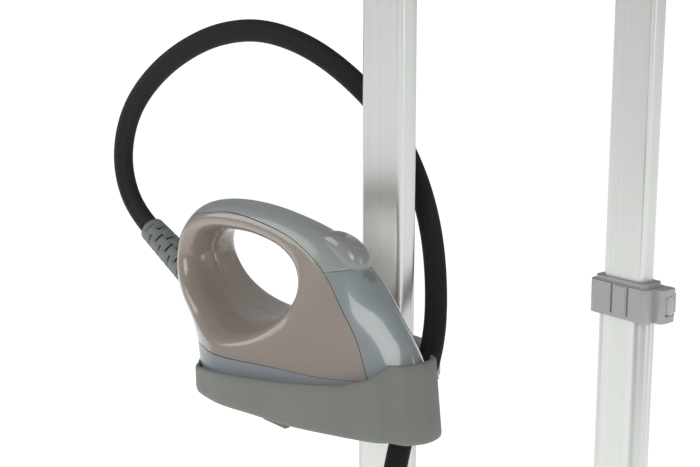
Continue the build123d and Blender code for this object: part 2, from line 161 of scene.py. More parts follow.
def noise(tree: Tree, vector: Socket, size_mm: float, detail: float = 3.0) -> Socket:
    """A noise pattern whose features have a real size.

    Args:
        tree: The material's node tree.
        vector: Coordinates in metres.
        size_mm: The size of a feature.
        detail: How many finer layers it has.

    Returns:
        The noise's factor output.
    """
    node = add_node(tree, "ShaderNodeTexNoise", {"Scale": per_metre(size_mm), "Detail": detail}, {"Vector": vector})
    return node.outputs[0]


def spread(tree: Tree, source: Socket, low: float, high: float) -> Socket:
    """Maps the middle of a pattern's range to low..high.

    Args:
        tree: The material's node tree.
        source: The pattern.
        low: The result where the pattern is low.
        high: The result where it is high.

    Returns:
        The mapped value.
    """
    values = {"From Min": 0.3, "From Max": 0.7, "To Min": low, "To Max": high}
    return add_node(tree, "ShaderNodeMapRange", values, {"Value": source}).outputs[0]


def tinted(tree: Tree, source: Socket, colour: str, change: float) -> Socket:
    """A colour that gets a little lighter and darker with a pattern.

    Args:
        tree: The material's node tree.
        source: The pattern.
        colour: The middle colour as sRGB hex.
        change: The share by which its value moves.

    Returns:
        The colour output.
    """
    value = spread(tree, source, 1 - change, 1 + change)
    return add_node(tree, "ShaderNodeHueSaturation", {"Color": linear(colour)}, {"Value": value}).outputs[0]


def raised(tree: Tree, height: Socket, depth_mm: float, strength: float = 1.0) -> Socket:
    """A bump of a real depth.

    Args:
        tree: The material's node tree.
        height: The pattern that is high where the surface stands up.
        depth_mm: The height between low and high.
        strength: The share of the bump that is used.

    Returns:
        The normal output.
    """
    return add_node(
        tree, "ShaderNodeBump", {"Strength": strength, "Distance": depth_mm * MM}, {"Height": height}
    ).outputs[0]


def end_material(tree: Tree, values: dict[str, Any], links: dict[str, Socket]) -> None:
    """Adds the surface shader and the output.

    Args:
        tree: The material's node tree.
        values: The shader's constants.
        links: What feeds its inputs.
    """
    shader = add_node(tree, "ShaderNodeBsdfPrincipled", values, links)
    add_node(tree, "ShaderNodeOutputMaterial", links={"Surface": shader.outputs[0]})


# ---- finishes ----


@dataclass(frozen=True)
class MouldedPlastic:
    """Injection-moulded plastic: a fine tool texture, faint flow mottling and an uneven sheen."""

    name: str
    colour: str
    roughness: float = 0.4
    grain_mm: float = 0.6
    depth_mm: float = 0.02
    mottle: float = 0.03
    coat: float = 0.0
    coat_roughness: float = 0.06

    def build(self) -> bpy.types.Material:
        """The material for this finish."""
        material, tree = start_material(self.name)
        at = add_node(tree, "ShaderNodeTexCoord").outputs["Object"]
        links = {
            "Base Color": tinted(tree, noise(tree, at, 34), self.colour, self.mottle),
            "Roughness": spread(tree, noise(tree, at, 9, 5), self.roughness * 0.93, self.roughness * 1.07),
            "Normal": raised(tree, noise(tree, at, self.grain_mm, 4), self.depth_mm, 0.35),
        }
        values = {"Coat Weight": self.coat, "Coat Roughness": self.coat_roughness, "IOR": 1.47}
        end_material(tree, values, links)
        return material


@dataclass(frozen=True)
class GrainedMetal:
    """Metal with a drawn or brushed grain: long fine streaks that break up the reflection."""

    name: str
    colour: str
    roughness: float = 0.3
    grain_mm: float = 0.35
    stretch: tuple[float, float, float] = (1.0, 1.0, 0.02)
    metallic: float = 1.0
    depth_mm: float = 0.006

    def build(self) -> bpy.types.Material:
        """The material for this finish."""
        material, tree = start_material(self.name)
        at = add_node(tree, "ShaderNodeTexCoord").outputs["Object"]
        along = add_node(tree, "ShaderNodeMapping", {"Scale": self.stretch}, {"Vector": at}).outputs[0]
        streak = noise(tree, along, self.grain_mm, 4)
        links = {
            "Base Color": tinted(tree, noise(tree, along, 3), self.colour, 0.03),
            "Roughness": spread(tree, streak, self.roughness * 0.8, self.roughness * 1.2),
            "Normal": raised(tree, streak, self.depth_mm, 0.5),
        }
        end_material(tree, {"Metallic": self.metallic}, links)
        return material


@dataclass(frozen=True)
class BraidedSleeve:
    """A braided textile sleeve: threads crossing at a slant, dark, with a soft sheen."""

    name: str
    colour: str
    thread_mm: float = 1.5  # drawn a little coarser than a real braid, so that it shows

    def build(self) -> bpy.types.Material:
        """The material for this finish."""
        material, tree = start_material(self.name)
        at = add_node(tree, "ShaderNodeTexCoord").outputs["UV"]
        threads = []
        for turn in (0.75, -0.75):
            slanted = add_node(tree, "ShaderNodeMapping", {"Rotation": (0, 0, turn)}, {"Vector": at}).outputs[0]
            scale = 0.314 * per_metre(self.thread_mm)
            wave = add_node(tree, "ShaderNodeTexWave", {"Scale": scale, "Distortion": 0.4}, {"Vector": slanted})
            threads.append(wave.outputs["Fac"])
        weave = add_node(tree, "ShaderNodeMath", links={0: threads[0], 1: threads[1]}, operation="MAXIMUM").outputs[0]
        fuzz = noise(tree, add_node(tree, "ShaderNodeTexCoord").outputs["Object"], 0.7, 5)
        both = add_node(tree, "ShaderNodeMath", links={0: weave, 1: fuzz}, operation="ADD").outputs[0]
        links = {
            "Base Color": tinted(tree, weave, self.colour, 0.35),
            "Roughness": spread(tree, fuzz, 0.6, 0.85),
            "Normal": raised(tree, both, 0.35, 0.7),
        }
        end_material(tree, {"Sheen Weight": 0.05, "Sheen Roughness": 0.4, "Specular IOR Level": 0.25}, links)
        return material


@dataclass(frozen=True)
class WovenCloth:
    """Woven cotton: warp and weft standing proud of each other, and lint that lightens it in patches."""

    name: str
    colour: str
    thread_mm: float = 1.1  # drawn coarser than real cotton, so that the weave shows
    sheen: float = 0.3

    def build(self) -> bpy.types.Material:
        """The material for this finish."""
        material, tree = start_material(self.name)
        at = add_node(tree, "ShaderNodeTexCoord").outputs["Object"]
        scale = 0.314 * per_metre(self.thread_mm)
        waves = [
            add_node(
                tree, "ShaderNodeTexWave", {"Scale": scale, "Distortion": 0.6}, {"Vector": at}, bands_direction=axis
            ).outputs["Fac"]
            for axis in ("X", "Z")
        ]
        weave = add_node(tree, "ShaderNodeMath", links={0: waves[0], 1: waves[1]}, operation="ADD").outputs[0]
        links = {
            "Base Color": tinted(tree, noise(tree, at, 22, 6), self.colour, 0.06),
            "Roughness": spread(tree, noise(tree, at, 2), 0.8, 0.95),
            "Normal": raised(tree, weave, 0.12, 0.6),
        }
        end_material(tree, {"Sheen Weight": self.sheen, "Sheen Roughness": 0.5}, links)
        return material


@dataclass(frozen=True)
class LitPaper:
    """White studio paper lit from beneath, so that it reads as clean white with a faint fibre."""

    name: str
    colour: str
    glow: float = 0.8

    def build(self) -> bpy.types.Material:
        """The material for this finish."""
        material, tree = start_material(self.name)
        at = add_node(tree, "ShaderNodeTexCoord").outputs["Object"]
        links = {
            "Base Color": tinted(tree, noise(tree, at, 4, 4), self.colour, 0.006),
            "Emission Color": tinted(tree, noise(tree, at, 60), self.colour, 0.004),
            "Normal": raised(tree, noise(tree, at, 3, 4), 0.02, 0.3),
        }
        end_material(tree, {"Roughness": 0.9, "Emission Strength": self.glow, "Specular IOR Level": 0.1}, links)
        return material


@dataclass(frozen=True)
class ClearPlastic:
    """Smoke-tinted clear plastic: it shows what is behind it, a little clouded by its moulding."""

    name: str
    colour: str
    roughness: float = 0.08
    clearness: float = 0.85

    def build(self) -> bpy.types.Material:
        """The material for this finish."""
        material, tree = start_material(self.name)
        at = add_node(tree, "ShaderNodeTexCoord").outputs["Object"]
        links = {
            "Base Color": tinted(tree, noise(tree, at, 40), self.colour, 0.03),
            "Roughness": spread(tree, noise(tree, at, 12, 4), self.roughness * 0.7, self.roughness * 1.6),
            "Normal": raised(tree, noise(tree, at, 5), 0.02, 0.4),
        }
        end_material(tree, {"Transmission Weight": self.clearness, "IOR": 1.49}, links)
        return material


class Finish(Enum):
    """Every finish on the station."""

    # glossy taupe shell: the coat gives the clear window reflections over a soft body colour
    TAUPE = MouldedPlastic("taupe ABS, high gloss", "#8B8179", 0.3, 1.4, 0.012, 0.02, 0.7, 0.05)
    # cooler grey of the strip over the handle
    STRIP = MouldedPlastic("cool grey ABS, gloss", "#8A9190", 0.32, 1.2, 0.012, 0.02, 0.5, 0.08)
    # the nose is the same moulding, a shade darker
    NOSE = MouldedPlastic("slate grey ABS, gloss", "#7E8788", 0.28, 1.2, 0.012, 0.02, 0.7, 0.05)
    SKIRT = MouldedPlastic("grey polyamide, satin", "#7F868B", 0.36, 0.8, 0.02, 0.03, 0.25, 0.15)
    BUTTON = MouldedPlastic("grey button plastic, gloss", "#7F827F", 0.28, 1.0, 0.01, 0.02, 0.7, 0.05)
    # rubbery relief: no clear reflection at all
    RELIEF = MouldedPlastic("soft grey elastomer", "#6E7371", 0.6, 0.5, 0.03, 0.04)
    # near-black painted shade standing in for the shadow inside the relief's shallow slots
    SLOT = MouldedPlastic("painted slot shade", "#151614", 0.8, 0.5, 0.03, 0.05)
    # matte eroded-tool texture scatters the light of the cradle
    CRADLE = MouldedPlastic("dark grey PA, eroded texture", "#6B6E67", 0.55, 0.55, 0.05, 0.04)
    SILICONE = MouldedPlastic("grey heat-proof silicone", "#5A5C5A", 0.7, 0.5, 0.03, 0.05)
    GREY = MouldedPlastic("mid grey ABS, satin", "#9C9E9D", 0.42, 0.6, 0.03, 0.03, 0.15, 0.2)
    LEVER = MouldedPlastic("light grey ABS, satin", "#A5A6AB", 0.38, 0.6, 0.025, 0.03, 0.2, 0.15)
    DARK = MouldedPlastic("charcoal ABS, textured", "#33353A", 0.5, 0.5, 0.04, 0.05)
    SHELL = MouldedPlastic("pale grey ABS shell", "#C9CAC8", 0.4, 0.7, 0.03, 0.02, 0.2, 0.2)
    RUBBER = MouldedPlastic("black tyre rubber", "#1B1B1B", 0.8, 0.7, 0.05, 0.08)
    LENS = MouldedPlastic("smoked lamp lens", "#6F7375", 0.12, 1.0, 0.008, 0.03, 1.0, 0.03)
    CIRCUIT = MouldedPlastic("green solder mask", "#1F5A3A", 0.35, 0.9, 0.03, 0.12, 0.4, 0.1)
    # clear-anodised extrusion: die lines run up the pole
    ANODISED = GrainedMetal("satin anodised aluminium", "#D2D5D1", 0.34, 0.5, (1.0, 1.0, 0.01), 0.75)
    STEEL = GrainedMetal("zinc-plated steel", "#B9BBBD", 0.32, 0.5, (1.0, 1.0, 1.0))
    SOLE = GrainedMetal("polished stainless steel", "#C8C9CB", 0.2, 0.4, (1.0, 0.03, 1.0))
    CAST = GrainedMetal("cast aluminium", "#9FA1A3", 0.5, 1.2, (1.0, 1.0, 1.0), 1.0, 0.05)
    BOARD = GrainedMetal("powder-coated sheet steel", "#BFC1C2", 0.45, 0.8, (1.0, 1.0, 1.0), 0.3, 0.02)
    COPPER = GrainedMetal("drawn copper tube", "#B87345", 0.28, 0.4, (1.0, 0.05, 1.0))
    HOSE = BraidedSleeve("black braided polyester", "#161714")
    COVER = WovenCloth("grey cotton cover", "#A3A8AC")
    FELT = WovenCloth("white pad felt", "#DAD7D0", 1.8, 0.5)
    TANK = ClearPlastic("smoke-tinted SAN", "#B9C4CA")
    # the studio paper is pale and slightly fibrous
    PAPER = LitPaper("white studio paper", "#FCFCFC")


class Paints:
    """Makes each finish's material once."""

    def __init__(self) -> None:
        """Starts with none made."""
        self.made: dict[Finish, bpy.types.Material] = {}

    def get(self, finish: Finish) -> bpy.types.Material:
        """The material of a finish.

        Args:
            finish: Which finish.

        Returns:
            The shared material.
        """
        if finish not in self.made:
            self.made[finish] = finish.value.build()
        return self.made[finish]


# ---- mesh helpers ----


def make_mesh(
    name: str, points: np.ndarray, faces: list[Face], material: bpy.types.Material
) -> bpy.types.Object:
    """A smooth-shaded mesh object in the row frame.

    Args:
        name: The piece's name.
        points: Vertices in metres.
        faces: Corners of each face.
        material: Its finish.

    Returns:
        The new object.
    """
    mesh = bpy.data.meshes.new(name)
    mesh.from_pydata([tuple(p) for p in points], [], faces)
    mesh.materials.append(material)
    mesh.update()
    thing = bpy.data.objects.new(name, mesh)
    bpy.context.collection.objects.link(thing)
    work = bmesh.new()
    work.from_mesh(mesh)
    bmesh.ops.remove_doubles(work, verts=work.verts, dist=0.02 * MM)
    bmesh.ops.recalc_face_normals(work, faces=work.faces)
    work.to_mesh(mesh)
    work.free()
    for polygon in mesh.polygons:
        polygon.use_smooth = True
    return thing


def grid_faces(rows: int, columns: int, wrap: bool) -> list[Face]:
    """Quads of a grid stored row by row.

    Args:
        rows: How many rows of points.
        columns: How many points in a row.
        wrap: Whether each row closes on itself.

    Returns:
        The faces.
    """
    faces = []
    for row in range(rows - 1):
        for column in range(columns if wrap else columns - 1):
            a, b = row * columns + column, row * columns + (column + 1) % columns
            faces.append((a, b, b + columns, a + columns))
    return faces


def end_caps(rows: int, columns: int) -> list[Face]:
    """The two faces that close a grid of rings at its first and last row."""
    return [tuple(range(columns)), tuple(range(columns * (rows - 1), columns * rows))]


def smooth_curve(points: list[tuple[float, ...]], closed: bool, steps: int = 12) -> np.ndarray:
    """A Catmull-Rom curve through the points.

    Args:
        points: What it passes through.
        closed: Whether it returns to its start.
        steps: How many points each span gets.

    Returns:
        The curve's points.
    """
    p = np.array(points, float)
    if closed:
        p = np.vstack([p[-1], p, p[0], p[1]])
    else:
        p = np.vstack([2 * p[0] - p[1], p, 2 * p[-1] - p[-2]])
    out = []
    for a, b, c, d in zip(p, p[1:], p[2:], p[3:]):
        for k in range(steps):
            t = k / steps
            bend, twist = 2 * a - 5 * b + 4 * c - d, 3 * b - a - 3 * c + d
            out.append(0.5 * (2 * b + (c - a) * t + bend * t**2 + twist * t**3))
    if not closed:
        out.append(p[-2])
    return np.array(out)


def add_modifier(thing: bpy.types.Object, kind: str, **settings: Any) -> None:
    """Adds one modifier with its settings.

    Args:
        thing: The object.
        kind: The modifier's type.
        settings: Its options.
    """
    modifier = thing.modifiers.new(kind.title(), kind)
    for key, value in settings.items():
        setattr(modifier, key, value)


# ---- camera and lights ----


@dataclass
class Studio:
    """The camera, the lights and the floor."""

    paints: Paints
    aim: Point = (-0.7127, -0.6883, 1.0622)
    turn_deg: Point = (77.792, 0.0, -38.865)
    lens_mm: float = 71.1

    def camera(self) -> None:
        """Puts the camera high on the left front, as a buyer would look at the iron."""
        data = bpy.data.cameras.new("camera")
        data.lens, data.sensor_width = self.lens_mm, 36.0
        data.dof.use_dof = False
        camera = bpy.data.objects.new("camera", data)
        camera.location = self.aim
        camera.rotation_euler = [math.radians(a) for a in self.turn_deg]
        bpy.context.collection.objects.link(camera)
        bpy.context.scene.camera = camera

    def lamp(self, name: str, at: Point, towards: Point, size: tuple[float, float], power: float) -> None:
        """One soft rectangular lamp.

        Args:
            name: Its name.
            at: Where it stands.
            towards: What it faces.
            size: Width and height in metres.
            power: Watts.
        """
        data = bpy.data.lights.new(name, "AREA")
        data.shape, data.size, data.size_y, data.energy = "RECTANGLE", size[0], size[1], power
        lamp = bpy.data.objects.new(name, data)
        lamp.location = at
        lamp.rotation_euler = (Vector(towards) - Vector(at)).to_track_quat("-Z", "Y").to_euler()
        bpy.context.collection.objects.link(lamp)

    def build(self) -> None:
        """Makes camera, lamps, world and floor."""
        self.camera()
        middle = (-0.15, 0.0, 0.85)
        self.lamp("key", (-1.9, -0.9, 2.1), middle, (1.1, 1.3), 21)
        self.lamp("front", (0.5, -2.4, 1.7), middle, (0.5, 1.6), 9)
        self.lamp("rim", (-1.3, 1.5, 1.9), middle, (1.0, 1.0), 8)
        world = bpy.data.worlds.new("studio")
        world.use_nodes = True
        world.node_tree.nodes["Background"].inputs[0].default_value = (1, 1, 1, 1)
        world.node_tree.nodes["Background"].inputs[1].default_value = 0.30
        bpy.context.scene.world = world
        bpy.context.scene.view_settings.view_transform = "Standard"
        corners = np.array([(-60, -60, 0), (60, -60, 0), (60, 60, 0), (-60, 60, 0)], float)
        make_mesh("floor", corners, [(0, 1, 2, 3)], self.paints.get(Finish.PAPER))


# ---- steam hose ----

HOSE_ROUTE_MM = [
    (-197, 185.4, 848.2), (-197, 203, 856.5), (-198, 218, 873), (-198.5, 224, 896), (-197, 219, 922),
    (-194, 205, 945), (-188, 182, 967), (-180, 155, 984), (-170, 128, 995), (-157, 98, 998.5),
    (-142, 66, 989), (-126, 40, 969), (-110, 19, 942), (-99, 2, 905), (-98, -13, 869), (-108, -30, 834),
    (-124, -46, 803), (-137, -48, 774), (-149, -45, 748), (-160, -48, 720), (-171, -54, 690),
    (-181, -61, 648), (-187, -70, 590), (-192, -80, 515), (-200, -90, 430), (-210, -99, 345),
    (-219, -105, 265), (-226, -103, 195), (-230, -84, 134), (-232, -44, 98), (-233, 0, 92),
    (-231, 34, 112), (-223, 55, 150), (-206, 60, 179), (-190.3, 60, 197.6),
]  # fmt: skip


@dataclass
class SteamHose:
    """The flat twin hose from the iron's heel, round the left pole, down to the base."""

    paints: Paints
    wide_mm: float = 15.5
    thick_mm: float = 10.5
    around: int = 32

    def centreline(self) -> np.ndarray:
        """The points of the hose's curve, read from a spline through its route."""
        data = bpy.data.curves.new("hose_line", "CURVE")
        data.dimensions, data.resolution_u = "3D", 14
        spline = data.splines.new("NURBS")
        spline.points.add(len(HOSE_ROUTE_MM) - 1)
        for point, (x, y, z) in zip(spline.points, HOSE_ROUTE_MM):
            point.co = (x * MM, y * MM, z * MM, 1.0)
        spline.order_u = 3
        spline.use_endpoint_u = True
        line = bpy.data.objects.new("hose_line", data)
        bpy.context.collection.objects.link(line)
        bpy.context.view_layer.update()
        mesh = bpy.data.meshes.new_from_object(line.evaluated_get(bpy.context.evaluated_depsgraph_get()))
        points = np.array([v.co for v in mesh.vertices], float)
        bpy.data.objects.remove(line)
        bpy.data.meshes.remove(mesh)
        return points

    def build(self) -> bpy.types.Object:
        """Lays an oval, two-lobed tube along the centreline."""
        line = self.centreline()
        steps = np.linalg.norm(np.diff(line, axis=0), axis=1)
        along = np.concatenate([[0], np.cumsum(steps)])
        ahead = np.gradient(line, axis=0)
        ahead /= np.linalg.norm(ahead, axis=1)[:, None]
        wide = np.cross(np.array([0.87, 0.49, 0.0]), ahead)
        wide /= np.linalg.norm(wide, axis=1)[:, None]
        flat = np.cross(ahead, wide)
        angle = np.linspace(0, 2 * math.pi, self.around, endpoint=False)
        across = self.wide_mm / 2 * np.cos(angle) * MM
        up = self.thick_mm / 2 * np.sin(angle) * (1 - 0.16 * np.exp(-((np.cos(angle) / 0.3) ** 2))) * MM
        points = line[:, None] + wide[:, None] * across[None, :, None] + flat[:, None] * up[None, :, None]
        faces = grid_faces(len(line), self.around, True)
        faces += end_caps(len(line), self.around)
        hose = make_mesh("hose_sleeve", points.reshape(-1, 3), faces, self.paints.get(Finish.HOSE))
        layer = hose.data.uv_layers.new(name="UVMap")
        girth = 0.041
        for polygon in hose.data.polygons:
            turns = [hose.data.loops[i].vertex_index % self.around for i in polygon.loop_indices]
            seam = max(turns) - min(turns) > self.around / 2
            for index, turn in zip(polygon.loop_indices, turns):
                row = min(hose.data.loops[index].vertex_index // self.around, len(along) - 1)
                turn = turn + self.around if seam and turn < self.around / 2 else turn
                layer.data[index].uv = (turn / self.around * girth, along[row])
        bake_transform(hose)
        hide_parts("steam_hose")
        return hose


# ---- iron ----

IRON_AT = (-0.197, 0.0, 0.780)
SIDE_OUTLINE = [
    (90, 3), (98, 6), (115, 19), (128, 36), (133, 56), (129, 76), (116, 93), (95, 104), (60, 109),
    (18, 108.5), (-29, 102), (-56, 90), (-75, 74), (-92, 60), (-110.3, 38), (-113.9, 17), (-116, 3),
]  # fmt: skip
HANDLE_OPENING = [
    (103, 66), (96, 52), (82, 43), (64, 37.5), (43, 35.5), (22, 37.5), (2, 44), (-12, 54), (-18, 66),
    (-10, 77.5), (8, 86), (32, 89.5), (54, 89.5), (78, 87), (96, 80),
]  # fmt: skip
SEAM_TOP = [
    (112, 90), (103, 94.5), (86, 98.5), (60, 102.5), (26, 101.5), (-6, 97), (-31, 89), (-47, 80),
    (-65, 64), (-80, 46), (-92, 25.5),
]  # fmt: skip
SEAM_LOW = [(-92, 25.5), (-75, 24), (-54, 23), (-20, 22), (30, 18.5), (54, 18), (80, 14), (101, 9)]
HALF_WIDTHS = {
    3: [(-112, 12), (-100, 22), (-82, 31), (-48, 44), (-16, 50), (12, 54), (40, 51), (58, 42), (75, 30), (90, 18)],
    20: [(-105, 15), (-90, 24), (-60, 37), (-20, 45), (20, 49), (50, 44), (80, 31), (100, 19)],
    40: [(-105, 10), (-85, 20), (-55, 30), (-20, 37), (20, 41), (60, 38), (95, 30), (120, 18)],
    60: [(-88, 10), (-65, 22), (-35, 27), (112, 24), (128, 15)],
    80: [(-62, 14), (-40, 19), (-10, 20), (108, 21), (124, 16)],
    98: [(-15, 15), (20, 17), (60, 18), (95, 18)],
}


@dataclass
class IronForm:
    """The iron's smooth shell as a half-width over its side view, from which every panel is cut."""

    middle: tuple[float, float] = (42.0, 62.0)
    rays: int = 360

    def __post_init__(self) -> None:
        """Prepares the outlines and the half-width surface."""
        curved = smooth_curve(SIDE_OUTLINE, False)
        self.curved = curved
        self.outline = np.vstack([curved, np.linspace(curved[-1], curved[0], 40)[1:-1]])
        opening = smooth_curve(HANDLE_OPENING, True)
        self.opening = np.vstack([opening, opening[:1]])
        self.known = np.array([(y, z) for z, row in HALF_WIDTHS.items() for y, _ in row], float)
        values = np.array([w for row in HALF_WIDTHS.values() for _, w in row], float)
        n = len(self.known)
        system = np.zeros((n + 3, n + 3))
        system[:n, :n] = self.kernel(self.known) + np.eye(n) * 30.0
        system[:n, n:] = np.column_stack([np.ones(n), self.known / 100])
        system[n:, :n] = system[:n, n:].T
        self.weights = np.linalg.solve(system, np.concatenate([values, np.zeros(3)]))

    def kernel(self, places: np.ndarray) -> np.ndarray:
        """Thin-plate distances from places to the known widths."""
        gap = np.linalg.norm(places[:, None] - self.known[None], axis=2)
        return gap**2 * np.log(np.maximum(gap, 1e-6))

    @staticmethod
    def clearance(places: np.ndarray, edge: np.ndarray) -> np.ndarray:
        """The distance from each place to the nearest run of an edge.

        Args:
            places: Points of the side view in mm.
            edge: The edge's points in mm.

        Returns:
            The distances in mm.
        """
        near = np.full(len(places), 1e9)
        for a, b in zip(edge, edge[1:]):
            run = b - a
            if run @ run < 1e-12:
                continue
            share = np.clip((places - a) @ run / (run @ run), 0, 1)
            near = np.minimum(near, np.linalg.norm(places - a - share[:, None] * run, axis=1))
        return near

    def depth(self, places: np.ndarray) -> np.ndarray:
        """How far the shell stands out from the centre plane.

        Args:
            places: Points of the side view in mm.

        Returns:
            The half-width at each, in mm.
        """
        n = len(self.known)
        width = self.kernel(places) @ self.weights[:n] + self.weights[n] + places / 100 @ self.weights[n + 1 :]
        width = np.maximum(width, 6.0)

        def rounding(edge: np.ndarray, radius: np.ndarray | float) -> np.ndarray:
            """Falls to nothing at an edge, in a full round.

            Args:
                edge: The edge's points in mm.
                radius: How far in the round begins, in mm.

            Returns:
                The share of the full half-width.
            """
            near = self.clearance(places, edge)
            share = np.clip(near / radius, 0, 1)
            return (1 - (1 - share) ** 2.3) ** (1 / 2.3)

        radius = np.interp(places[:, 1], [3, 30, 60], [5.0, 11.0, 15.0])
        return width * rounding(self.curved, radius) * rounding(self.opening, 13.0)

    def reach(self, loop: np.ndarray, angles: np.ndarray) -> np.ndarray:
        """How far a closed loop lies from the middle along each ray.

        Args:
            loop: The loop's points in mm.
            angles: The rays' directions in radians.

        Returns:
            The distances in mm.
        """
        around = loop - np.array(self.middle)
        a, b = around, np.roll(around, -1, axis=0)
        out = []
        for angle in angles:
            ray = np.array([math.cos(angle), math.sin(angle)])
            side_a, side_b = a @ np.array([-ray[1], ray[0]]), b @ np.array([-ray[1], ray[0]])
            crossing = (side_a * side_b <= 0) & (np.abs(side_a - side_b) > 1e-9)
            share = side_a[crossing] / (side_a[crossing] - side_b[crossing])
            hits = (a[crossing] + (b - a)[crossing] * share[:, None]) @ ray
            out.append(hits.max() if len(hits) else 0.0)
        return np.array(out)

    def angle_of(self, place: tuple[float, float]) -> float:
        """The ray through a place, from 0 to a full turn."""
        return math.atan2(place[1] - self.middle[1], place[0] - self.middle[0]) % (2 * math.pi)

    def surface(self, region: Region, hand: Hand, lift: float) -> tuple[np.ndarray, list[Face]]:
        """One half of a moulded part.

        Args:
            region: Which part.
            hand: Which half.
            lift: How far in from the seam the part stops, in mm.

        Returns:
            Points in metres and their faces.
        """
        marks = {
            "heel_top": self.angle_of(SEAM_TOP[0]), "split": self.angle_of((-62, 86)),
            "nose_low": self.angle_of(SEAM_LOW[0]), "heel_low": self.angle_of(SEAM_LOW[-1]),
        }  # fmt: skip
        spans = {
            Region.PANEL: (0.0, 2 * math.pi), Region.STRIP: (marks["heel_top"], marks["split"]),
            Region.NOSE: (marks["split"] + 0.003, marks["nose_low"]), Region.SKIRT: (marks["nose_low"], marks["heel_low"]),
        }  # fmt: skip
        first, last = spans[region]
        count = self.rays if region is Region.PANEL else max(24, int(self.rays * (last - first) / 6.283))
        angles = np.linspace(first, last, count, endpoint=region is not Region.PANEL)
        outer = self.reach(self.outline, angles)
        inner = self.reach(self.opening, angles)
        loop = np.vstack([smooth_curve(SEAM_TOP, False), smooth_curve(SEAM_LOW, False)])
        seam = np.minimum(self.reach(loop, angles), outer)
        at_heel = (angles >= marks["heel_low"]) | (angles <= marks["heel_top"])
        seam = np.where(at_heel, outer, seam)
        if region is Region.PANEL:
            start, stop = np.where(at_heel, seam, seam - lift), inner
        else:
            start, stop = outer, seam + lift
        steps = 34 if region is Region.PANEL else 22
        levels = (1 - np.cos(np.linspace(0, math.pi, steps))) / 2
        rays = np.column_stack([np.cos(angles), np.sin(angles)])
        far = start[None, :] + levels[:, None] * (stop - start)[None, :]
        places = np.array(self.middle) + far[..., None] * rays[None]
        flat = places.reshape(-1, 2)
        depth = self.depth(flat)
        if region is Region.PANEL:
            depth = np.maximum(depth, 0.12)
        x = hand.value * depth
        points = np.column_stack([x, flat]) * MM + np.array(IRON_AT)
        return points, grid_faces(len(levels), count, region is Region.PANEL)


